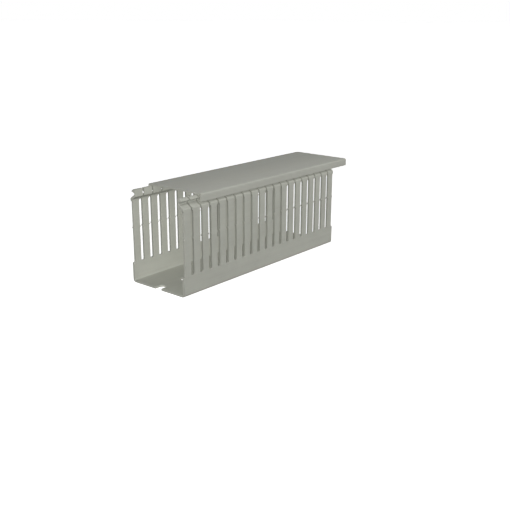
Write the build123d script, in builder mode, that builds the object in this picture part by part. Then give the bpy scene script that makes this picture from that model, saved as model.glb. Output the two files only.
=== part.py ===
"""Slotted wire duct with its clip-on cover, which is slid a little way off one end.

The duct is one extruded profile: a floor and two side walls. Each wall ends in a shoulder, a
neck and a lip that the cover hooks under, and is punched into fingers by slots open at the top.
Millimetres, +X along the duct, +Z up, origin in the middle of the floor's underside.
"""
import os

from build123d import *

# Overall sizes, with the cover closed
duct_length = 250.0
duct_width = 75.0
duct_height = 100.0

# Walls of the two profiles
side_wall = 2.4
floor_wall = 2.2
floor_corner_radius = 3.5
cover_wall = 1.4

# Head of a side wall from the top down: heights of the stretches of its outline
cover_seat_gap = 0.3
lip_chamfer_height = 2.1
lip_edge_height = 0.4
lip_undercut_height = 1.5
neck_height = 1.5
shoulder_slope_height = 4.1
shoulder_height = 2.3
neck_back_height = 7.7
neck_overhang_height = 3.3

# Head of a side wall: depths behind its outer face, and the roundings
lip_clearance = 0.3
lip_edge_slant = 0.3
lip_chamfer_width = 2.8
lip_radius = 0.8
neck_depth = 6.1
neck_wall = 1.2
notch_radius = 1.0
shoulder_radius = 2.0

# Finger slots, with a pair of nubs half way up and a slit through the head
slot_pitch = 12.5
slot_width = 4.5
slit_width = 2.0
band_height = 21.2
nub_level = 58.0
nub_height = 1.8
nub_tip_height = 0.8
nub_reach = 0.9
slot_bottom_radius = 1.0
slot_taper_height = 1.5

# Mounting slots along the middle of the floor
mount_pitch = 41.7
mount_slot_length = 20.0
mount_slot_width = 8.5

# Cover, its two flanges and the hooks along their lower edges
cover_slide_out = 25.5
cover_corner_radius = 2.0
flange_height = 9.0
flange_edge_radius = 0.7
hook_reach = 3.2
hook_rise = 2.8
hook_tip_height = 0.6
hook_root_height = 2.3
hook_radius = 0.2

cut_overrun = 5.0

# Levels and faces that follow from the sizes above
half_width = duct_width / 2
cover_underside = duct_height - cover_wall
head_top = cover_underside - cover_seat_gap
lip_tip = head_top - lip_chamfer_height
lip_base = lip_tip - lip_edge_height
neck_top = lip_base - lip_undercut_height
neck_bottom = neck_top - neck_height
shoulder_top = neck_bottom - shoulder_slope_height
slot_top = shoulder_top - shoulder_height
back_bottom = head_top - neck_back_height
wall_top = back_bottom - neck_overhang_height
neck_face = half_width - neck_depth
flange_inner = half_width - cover_wall
lip_face = flange_inner - lip_clearance
slot_count = round(duct_length / slot_pitch) + 1
mount_count = round(duct_length / mount_pitch) + 1


def rounded_half(corners):
    """Half of an outline that starts and ends on the centreline: corners are (x, y, radius)."""
    points = [(x, y) for x, y, _ in corners]
    radii = [radius for _, _, radius in corners[1:-1]]
    FilletPolyline(*points, radius=radii)
    Line(points[-1], points[0])


duct_corners = [
    (0, 0, 0),
    (half_width, 0, floor_corner_radius),
    (half_width, shoulder_top, shoulder_radius),
    (neck_face, neck_bottom, notch_radius),
    (neck_face, neck_top, notch_radius),
    (lip_face - lip_edge_slant, lip_base, 0),
    (lip_face, lip_tip, 0),
    (lip_face - lip_chamfer_width, head_top, lip_radius),
    (neck_face - neck_wall, head_top, 0),
    (neck_face - neck_wall, back_bottom, 0),
    (half_width - side_wall, wall_top, 0),
    (half_width - side_wall, floor_wall, floor_corner_radius - side_wall),
    (0, floor_wall, 0),
]

flange_bottom = duct_height - flange_height
hook_tip = flange_bottom + hook_rise
cover_corners = [
    (0, duct_height, 0),
    (half_width, duct_height, cover_corner_radius),
    (half_width, flange_bottom, flange_edge_radius),
    (flange_inner - hook_reach, hook_tip, hook_radius),
    (flange_inner - hook_reach, hook_tip + hook_tip_height, hook_radius),
    (flange_inner, flange_bottom + hook_root_height, hook_radius),
    (flange_inner, cover_underside, cover_corner_radius - cover_wall),
    (0, cover_underside, 0),
]

half_slot = slot_width / 2
half_slit = slit_width / 2
nub_face = half_slot - nub_reach
slot_corners = [
    (0, band_height, 0),
    (half_slot, band_height, slot_bottom_radius),
    (half_slot, nub_level - nub_height / 2, 0),
    (nub_face, nub_level - nub_tip_height / 2, 0),
    (nub_face, nub_level + nub_tip_height / 2, 0),
    (half_slot, nub_level + nub_height / 2, 0),
    (half_slot, slot_top - slot_taper_height, 0),
    (half_slit, slot_top, 0),
    (half_slit, duct_height, 0),
    (0, duct_height, 0),
]

# One slot outline, as seen from the side
with BuildSketch() as finger_slot:
    with BuildLine():
        rounded_half(slot_corners)
    make_face()
    mirror(about=Plane.YZ)

# Duct profile, punched from the side and from below
with BuildPart() as duct_base:
    with BuildSketch(Plane.YZ.offset(-duct_length / 2)):
        with BuildLine():
            rounded_half(duct_corners)
        make_face()
        mirror(about=Plane.YZ)
    extrude(amount=duct_length)
    with BuildSketch(Plane.XZ):
        with GridLocations(slot_pitch, 0, slot_count, 1):
            add(finger_slot.sketch)
    extrude(amount=duct_width, both=True, mode=Mode.SUBTRACT)
    with BuildSketch(Plane.XY.offset(floor_wall)):
        with GridLocations(mount_pitch, 0, mount_count, 1):
            SlotOverall(mount_slot_length, mount_slot_width)
    extrude(amount=-floor_wall - cut_overrun, mode=Mode.SUBTRACT)
duct_base.part.label = "duct_base"

# Cover profile, slid along the duct
with BuildPart() as cover:
    with BuildSketch(Plane.YZ.offset(cover_slide_out - duct_length / 2)):
        with BuildLine():
            rounded_half(cover_corners)
        make_face()
        mirror(about=Plane.YZ)
    extrude(amount=duct_length)
cover.part.label = "cover"

os.makedirs("parts", exist_ok=True)
export_step(duct_base.part, "parts/duct_base.step")
export_step(cover.part, "parts/cover.step")
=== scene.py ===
"""Looks of the slotted wire duct: extruded PVC, soft studio light, white floor and camera."""

import math

import bpy
from mathutils import Matrix, Vector

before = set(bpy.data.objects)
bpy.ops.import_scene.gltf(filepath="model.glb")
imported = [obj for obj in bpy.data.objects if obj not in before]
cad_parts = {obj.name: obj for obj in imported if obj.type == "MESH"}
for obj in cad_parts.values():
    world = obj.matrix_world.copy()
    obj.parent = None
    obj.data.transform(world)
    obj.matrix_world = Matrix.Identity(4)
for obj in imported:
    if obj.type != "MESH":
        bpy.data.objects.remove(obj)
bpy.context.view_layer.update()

MM = 0.001

# Camera, in the duct's frame: picture and focal length in pixels, sensor in millimetres, reach in metres
image_size = 510
camera_place = Vector((-606.40, -533.40, 262.56)) * MM
camera_azimuth = math.radians(49.835)
camera_elevation = math.radians(17.585)
camera_roll = math.radians(0.129)
focal_pixels = 753.29
sensor_width = 36.0
camera_reach = 100.0

# Far lamps: name, direction towards the lamp, spread in degrees, strength, shadows, highlights
lamps = [
    ("soft_front", (-0.05, -0.97, 0.12), 30, 1.22, False, True),
    ("soft_camera", (-0.63, -0.64, 0.40), 30, 0.98, False, True),
    ("key", (-0.62, -0.62, 0.46), 50, 0.80, True, True),
    ("soft_back", (0.52, 0.85, 0.03), 40, 3.0, False, False),
]
sky_strength = 0.02

# Near lamps: name, place, point they face, length and width, all in millimetres, then watts
near_lamps = [
    ("strip", (20, -75, 190), (20, -75, 0), (500, 20), 0.13),
    ("open_end", (-650, -60, 180), (-110, 0, 20), (150, 150), 1.10),
]

# Floor: side in metres, glow in the picture, and what it reflects there and onto the object
floor_size = 60.0
floor_glow = 0.76
floor_seen = 0.8
floor_bounce = 0.2
floor_roughness = 0.9

# Plastic of the two pieces: its roughness changes with the mottling and on cut faces and worn edges
duct_colour = (0.352, 0.357, 0.316)
# The cover is darker than the duct: partly its own tone, partly painted shade for the dimmer light on
# its top
cover_colour_with_painted_shade = (0.337, 0.341, 0.304)
pvc_roughness = 0.6
roughness_change = 0.06
cut_roughness = 0.15
worn_polish = 0.10
pvc_specular = 0.12

# Its marks: size along X, Y and Z in millimetres, detail of the noise, and levels where they show
die_line_size = (400, 1.6, 1.6)
die_line_detail = 3
die_line_levels = (0.35, 0.75)
mottle_size = (26, 18, 18)
mottle_detail = 4
mottle_levels = (0.30, 0.70)
scuff_size = (9, 0.7, 0.7)
scuff_detail = 2
scuff_levels = (0.62, 0.72)
scuffed_area_size = (45, 30, 30)
scuffed_area_detail = 1
scuffed_area_levels = (0.50, 0.65)
cut_mark_size = (2.0, 7.0, 0.5)
cut_mark_detail = 3
cut_mark_levels = (0.50, 0.80)
grain_size = (0.5, 0.5, 0.5)
grain_detail = 2

# Depth of the marks in millimetres
die_line_depth = 0.045
grain_depth = 0.018
cut_mark_depth = 0.08

# How far the tones of the plastic are apart, and how much of the lightest one the marks have
mottle_contrast = 0.05
whitening = 0.06
die_line_share = 0.25
scuff_share = 0.50
cut_share = 0.80
cut_mark_share = 0.35
wear_share = 0.40

# A face counts as cut when it looks along X
cut_facing = (0.75, 0.95)

# An edge counts as worn where a normal, rounded over the radius in millimetres, turns away
wear_radius = 0.5
wear_samples = 6
wear_turn = (0.02, 0.25)

# How much an edge is rubbed: two levels of the mottling, and the shares that go with them
worn_levels = (0.35, 0.65)
worn_shares = (0.4, 1.0)

# Edges rounded by a hair, in millimetres, after the mesh is welded and its flat faces are joined
edge_radius = 0.15
edge_segments = 2
weld_distance = 0.002
flat_angle = math.radians(0.5)
edge_angle = math.radians(25)
smooth_angle = math.radians(40)


def make_camera():
    """A camera that looks along the azimuth, turned from +Y towards +X, and down by the elevation."""
    forward = Vector((
        math.sin(camera_azimuth) * math.cos(camera_elevation),
        math.cos(camera_azimuth) * math.cos(camera_elevation),
        -math.sin(camera_elevation),
    ))
    level = forward.cross(Vector((0, 0, 1))).normalized()
    upright = level.cross(forward)
    right = math.cos(camera_roll) * level + math.sin(camera_roll) * upright
    up = math.cos(camera_roll) * upright - math.sin(camera_roll) * level
    data = bpy.data.cameras.new("photo_camera")
    data.sensor_width = sensor_width
    data.lens = focal_pixels / image_size * sensor_width
    data.clip_end = camera_reach
    camera = bpy.data.objects.new("photo_camera", data)
    camera.matrix_world = Matrix((right, up, -forward)).transposed().to_4x4()
    camera.location = camera_place
    bpy.context.collection.objects.link(camera)
    bpy.context.scene.camera = camera


def make_lamp(name, towards, spread, strength, shadow, highlight):
    """A broad far lamp, so that near and far faces get the same light."""
    data = bpy.data.lights.new(name, "SUN")
    data.angle = math.radians(spread)
    data.energy = strength
    data.use_shadow = shadow
    lamp = bpy.data.objects.new(name, data)
    lamp.rotation_euler = Vector(towards).to_track_quat("Z", "Y").to_euler()
    lamp.visible_glossy = highlight
    bpy.context.collection.objects.link(lamp)


def make_near_lamp(name, place, target, sizes, power):
    """A small lamp near the object, out of the picture and out of reflections."""
    data = bpy.data.lights.new(name, "AREA")
    data.shape = "RECTANGLE"
    data.size = sizes[0] * MM
    data.size_y = sizes[1] * MM
    data.energy = power
    lamp = bpy.data.objects.new(name, data)
    lamp.location = Vector(place) * MM
    backwards = Vector(place) - Vector(target)
    lamp.rotation_euler = backwards.to_track_quat("Z", "Y").to_euler()
    lamp.visible_camera = False
    lamp.visible_glossy = False
    bpy.context.collection.objects.link(lamp)


class Shading:
    """Short forms for the nodes of one material or world."""

    def __init__(self, owner):
        owner.use_nodes = True
        self.nodes = owner.node_tree.nodes
        self.links = owner.node_tree.links

    def put(self, value, socket):
        """Links an output to a socket, or sets the socket to a plain value."""
        if isinstance(value, bpy.types.NodeSocket):
            self.links.new(value, socket)
        else:
            socket.default_value = value

    def math(self, operation, first, second=0.0):
        node = self.nodes.new("ShaderNodeMath")
        node.operation = operation
        self.put(first, node.inputs[0])
        self.put(second, node.inputs[1])
        return node.outputs[0]

    def mix(self, factor, low, high):
        """A blend of two colours, as sockets or as plain (r, g, b)."""
        node = self.nodes.new("ShaderNodeMix")
        node.data_type = "RGBA"
        self.put(factor, node.inputs["Factor"])
        for value, name in ((low, "A"), (high, "B")):
            socket = next(s for s in node.inputs if s.name == name and s.type == "RGBA")
            self.put((*value, 1.0) if isinstance(value, tuple) else value, socket)
        return next(s for s in node.outputs if s.type == "RGBA")

    def spread(self, value, levels, low=0, high=1):
        """Maps the range between two levels onto the range low to high."""
        node = self.nodes.new("ShaderNodeMapRange")
        self.put(value, node.inputs["Value"])
        self.put(levels[0], node.inputs["From Min"])
        self.put(levels[1], node.inputs["From Max"])
        self.put(low, node.inputs["To Min"])
        self.put(high, node.inputs["To Max"])
        return node.outputs["Result"]

    def dot(self, first, second):
        node = self.nodes.new("ShaderNodeVectorMath")
        node.operation = "DOT_PRODUCT"
        self.put(first, node.inputs[0])
        self.put(second, node.inputs[1])
        return node.outputs["Value"]

    def noise(self, places, sizes, detail):
        """Noise with features of the given size, in millimetres, along X, Y and Z."""
        mapping = self.nodes.new("ShaderNodeMapping")
        self.put(places, mapping.inputs["Vector"])
        mapping.inputs["Scale"].default_value = [1 / (size * MM) for size in sizes]
        node = self.nodes.new("ShaderNodeTexNoise")
        self.put(mapping.outputs["Vector"], node.inputs["Vector"])
        node.inputs["Scale"].default_value = 1.0
        node.inputs["Detail"].default_value = detail
        return node.outputs["Fac"]

    def bump(self, height, depth, normal=None):
        """Relief of the given depth, in millimetres, upon another relief."""
        node = self.nodes.new("ShaderNodeBump")
        node.inputs["Distance"].default_value = depth * MM
        self.put(height, node.inputs["Height"])
        if normal is not None:
            self.put(normal, node.inputs["Normal"])
        return node.outputs["Normal"]

    def seen(self):
        """1 for rays that come from the camera, straight or by a reflection or through glass."""
        rays = self.nodes.new("ShaderNodeLightPath")
        either = self.math("MAXIMUM", rays.outputs["Is Camera Ray"], rays.outputs["Is Glossy Ray"])
        return self.math("MAXIMUM", either, rays.outputs["Is Transmission Ray"])


def worn_edges(shading, mottle):
    """Edges, where a rounded normal turns away from the true one, rubbed more in some places."""
    normal = shading.nodes.new("ShaderNodeNewGeometry").outputs["Normal"]
    rounded = shading.nodes.new("ShaderNodeBevel")
    rounded.samples = wear_samples
    rounded.inputs["Radius"].default_value = wear_radius * MM
    turn = shading.math("SUBTRACT", 1.0, shading.dot(rounded.outputs["Normal"], normal))
    rubbed = shading.math("MULTIPLY", turn, shading.spread(mottle, worn_levels, *worn_shares))
    return shading.spread(rubbed, wear_turn)


def scuffs(shading, places):
    """Short thin dashes along the length, in some areas only."""
    dashes = shading.spread(shading.noise(places, scuff_size, scuff_detail), scuff_levels)
    patches = shading.noise(places, scuffed_area_size, scuffed_area_detail)
    areas = shading.spread(patches, scuffed_area_levels)
    return shading.math("MULTIPLY", dashes, areas)


def pvc_tone(shading, colour, mottle, lines, scuffed, cut, marks, wear):
    """The colour, a little uneven, and lighter where it is drawn, scuffed, cut and worn."""
    dark = tuple((1 - mottle_contrast) * c for c in colour)
    light = tuple((1 + mottle_contrast) * c for c in colour)
    white = tuple(c + whitening for c in colour)
    body = shading.mix(shading.spread(mottle, mottle_levels), dark, light)
    drawn = shading.mix(shading.spread(lines, die_line_levels, 0, die_line_share), body, white)
    handled = shading.mix(shading.math("MULTIPLY", scuffed, scuff_share), drawn, white)
    sheared = shading.mix(shading.math("MULTIPLY", cut, cut_share), handled, colour)
    scored = shading.math("MULTIPLY", cut, shading.spread(marks, cut_mark_levels, 0, cut_mark_share))
    marked = shading.mix(scored, sheared, white)
    return shading.mix(shading.math("MULTIPLY", wear, wear_share), marked, white)


def pvc_gloss(shading, mottle, cut, wear):
    """The roughness: uneven, more on cut faces and less on worn edges."""
    low = pvc_roughness - roughness_change
    high = pvc_roughness + roughness_change
    uneven = shading.spread(mottle, mottle_levels, low, high)
    rougher = shading.math("ADD", uneven, shading.math("MULTIPLY", cut, cut_roughness))
    return shading.math("SUBTRACT", rougher, shading.math("MULTIPLY", wear, worn_polish))


def pvc(name, colour):
    """Extruded rigid PVC: die lines along X, mottling, scuffs, shear and saw marks on the cut faces."""
    material = bpy.data.materials.new(name)
    shading = Shading(material)
    shader = shading.nodes["Principled BSDF"]
    coordinates = shading.nodes.new("ShaderNodeTexCoord").outputs
    places = coordinates["Object"]
    facing = shading.math("ABSOLUTE", shading.dot(coordinates["Normal"], (1, 0, 0)))
    cut = shading.spread(facing, cut_facing)
    lines = shading.noise(places, die_line_size, die_line_detail)
    mottle = shading.noise(places, mottle_size, mottle_detail)
    marks = shading.noise(places, cut_mark_size, cut_mark_detail)
    scuffed = scuffs(shading, places)
    wear = worn_edges(shading, mottle)

    tone = pvc_tone(shading, colour, mottle, lines, scuffed, cut, marks, wear)
    shading.put(tone, shader.inputs["Base Color"])
    shading.put(pvc_gloss(shading, mottle, cut, wear), shader.inputs["Roughness"])
    shader.inputs["Specular IOR Level"].default_value = pvc_specular

    grain = shading.noise(places, grain_size, grain_detail)
    relief = shading.bump(lines, die_line_depth)
    relief = shading.bump(grain, grain_depth, relief)
    relief = shading.bump(shading.math("MULTIPLY", cut, marks), cut_mark_depth, relief)
    shading.put(relief, shader.inputs["Normal"])
    return material


def smooth_group():
    """Geometry nodes that shade faces smooth, apart from edges that turn by more than smooth_angle."""
    group = bpy.data.node_groups.new("smooth_by_angle", "GeometryNodeTree")
    group.interface.new_socket("Geometry", in_out="INPUT", socket_type="NodeSocketGeometry")
    group.interface.new_socket("Geometry", in_out="OUTPUT", socket_type="NodeSocketGeometry")
    nodes = group.nodes
    links = group.links
    start = nodes.new("NodeGroupInput")
    end = nodes.new("NodeGroupOutput")
    faces = nodes.new("GeometryNodeSetShadeSmooth")
    edges = nodes.new("GeometryNodeSetShadeSmooth")
    edges.domain = "EDGE"
    turn = nodes.new("GeometryNodeInputMeshEdgeAngle")
    below = nodes.new("FunctionNodeCompare")
    below.operation = "LESS_THAN"
    below.inputs[1].default_value = smooth_angle
    links.new(start.outputs[0], faces.inputs["Geometry"])
    links.new(faces.outputs[0], edges.inputs["Geometry"])
    links.new(turn.outputs["Unsigned Angle"], below.inputs[0])
    links.new(below.outputs[0], edges.inputs["Shade Smooth"])
    links.new(edges.outputs[0], end.inputs[0])
    return group


def soften(piece, smooth):
    """Rounds the edges by a hair, as an extruded and punched piece has them."""
    weld = piece.modifiers.new("weld", "WELD")
    weld.merge_threshold = weld_distance * MM
    flat = piece.modifiers.new("flat", "DECIMATE")
    flat.decimate_type = "DISSOLVE"
    flat.angle_limit = flat_angle
    bevel = piece.modifiers.new("edges", "BEVEL")
    bevel.width = edge_radius * MM
    bevel.segments = edge_segments
    bevel.limit_method = "ANGLE"
    bevel.angle_limit = edge_angle
    bevel.use_clamp_overlap = False
    shade = piece.modifiers.new("smooth", "NODES")
    shade.node_group = smooth
    even = piece.modifiers.new("normals", "WEIGHTED_NORMAL")
    even.keep_sharp = True


def make_floor():
    """A white floor that keeps a soft shadow of the object."""
    bpy.ops.mesh.primitive_plane_add(size=floor_size)
    floor = bpy.context.object
    floor.name = "floor"
    material = bpy.data.materials.new("white_floor")
    shading = Shading(material)
    shader = shading.nodes["Principled BSDF"]
    seen = shading.seen()
    tone = shading.mix(seen, (floor_bounce,) * 3, (floor_seen,) * 3)
    shading.put(tone, shader.inputs["Base Color"])
    shader.inputs["Roughness"].default_value = floor_roughness
    shader.inputs["Specular IOR Level"].default_value = 0.0
    shader.inputs["Emission Color"].default_value = (1, 1, 1, 1)
    shading.put(shading.math("MULTIPLY", seen, floor_glow), shader.inputs["Emission Strength"])
    floor.data.materials.append(material)


def make_world():
    """A dim even sky that shows white in the picture and in reflections."""
    world = bpy.data.worlds.new("studio")
    bpy.context.scene.world = world
    shading = Shading(world)
    background = shading.nodes["Background"]
    background.inputs["Color"].default_value = (1, 1, 1, 1)
    shading.put(shading.spread(shading.seen(), (0, 1), sky_strength, 1), background.inputs["Strength"])


make_camera()
make_world()
make_floor()
for lamp in lamps:
    make_lamp(*lamp)
for lamp in near_lamps:
    make_near_lamp(*lamp)

plastic = {
    "duct_base": pvc("duct_plastic_pvc", duct_colour),
    "cover": pvc("cover_plastic_pvc", cover_colour_with_painted_shade),
}
smooth = smooth_group()
for node, material in plastic.items():
    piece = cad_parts[node]
    for slot in piece.material_slots:
        slot.material = material
    soften(piece, smooth)

view = bpy.context.scene.view_settings
view.view_transform = "Standard"
